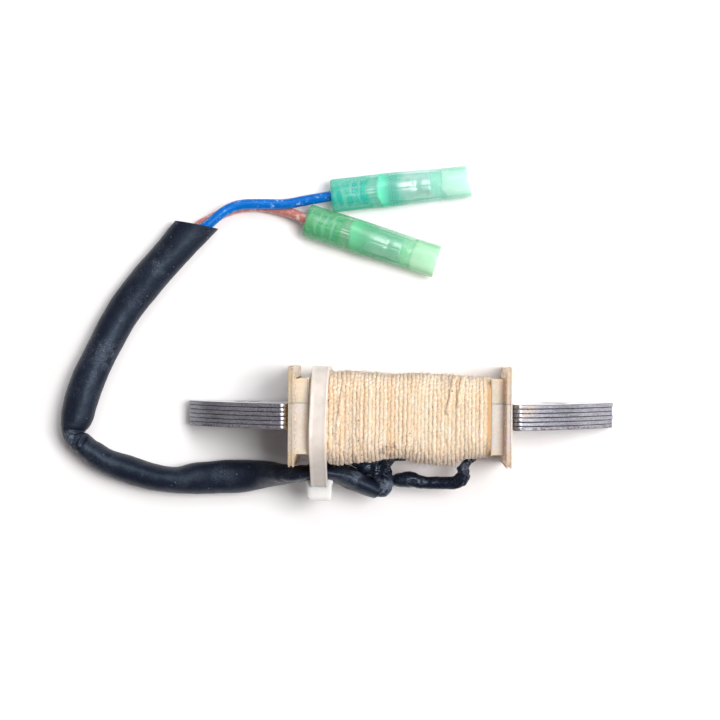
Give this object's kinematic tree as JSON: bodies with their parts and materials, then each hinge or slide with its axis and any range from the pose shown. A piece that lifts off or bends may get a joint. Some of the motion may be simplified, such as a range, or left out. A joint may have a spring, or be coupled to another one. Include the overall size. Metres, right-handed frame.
{
  "type": "magneto ignition source coil",
  "caption": "Wound magneto coil on a straight laminated core with arched pole ears, a split thread-bound bobbin, and two sleeved leads ending in insulated bullet sockets.",
  "frame": {"origin": "midway between the two mounting holes in the core's ears, in the middle of the stack of sheets", "axes": "+X along the core, away from the end where the leads leave; +Y across the stack, along the mounting screws, away from the side that the leads leave; +Z from the resting side of the bobbin flanges towards the arched pole faces"},
  "size_m": [0.1126, 0.0678, 0.0242],
  "materials": {
    "core_steel": "bare punched electrical steel, dull, with light rust at the edges",
    "bobbin_nylon": "cream moulded nylon, aged amber",
    "enamelled_copper": "enamelled copper wire, close wound",
    "tape": "yellowish polyester tape, varnished",
    "cotton_thread": "waxed cream cotton thread, soiled at the sides",
    "tie_nylon": "natural translucent nylon",
    "black_sleeve": "soft black vinyl tube, dusty, semi-matte",
    "solder": "dull tin solder over twisted copper",
    "copper_strand": "stranded copper",
    "blue_vinyl": "blue lead insulation, scuffed",
    "brown_vinyl": "faded red-brown lead insulation, scuffed",
    "mint_vinyl": "clear mint-green vinyl",
    "green_vinyl": "clear leaf-green vinyl",
    "tinned_brass": "tin-plated brass"
  },
  "bodies": {
    "root": {"lamination_1": "core_steel", "lamination_2": "core_steel", "lamination_3": "core_steel", "lamination_4": "core_steel", "lamination_5": "core_steel", "lamination_6": "core_steel", "bobbin_front_half": "bobbin_nylon", "bobbin_rear_half": "bobbin_nylon", "copper_winding": "enamelled_copper", "insulating_tape": "tape", "thread_binding": "cotton_thread", "cable_tie": "tie_nylon", "long_sleeve": "black_sleeve", "blue_joint_sleeve": "black_sleeve", "brown_joint_sleeve": "black_sleeve", "blue_solder_joint": "solder", "brown_solder_joint": "solder", "blue_lead_tail": "enamelled_copper", "brown_lead_tail": "enamelled_copper", "blue_wire_insulation": "blue_vinyl", "blue_wire_conductor": "copper_strand", "brown_wire_insulation": "brown_vinyl", "brown_wire_conductor": "copper_strand", "blue_connector_cover": "mint_vinyl", "brown_connector_cover": "green_vinyl", "blue_bullet_socket": "tinned_brass", "brown_bullet_socket": "tinned_brass"}
  },
  "joints": []
}
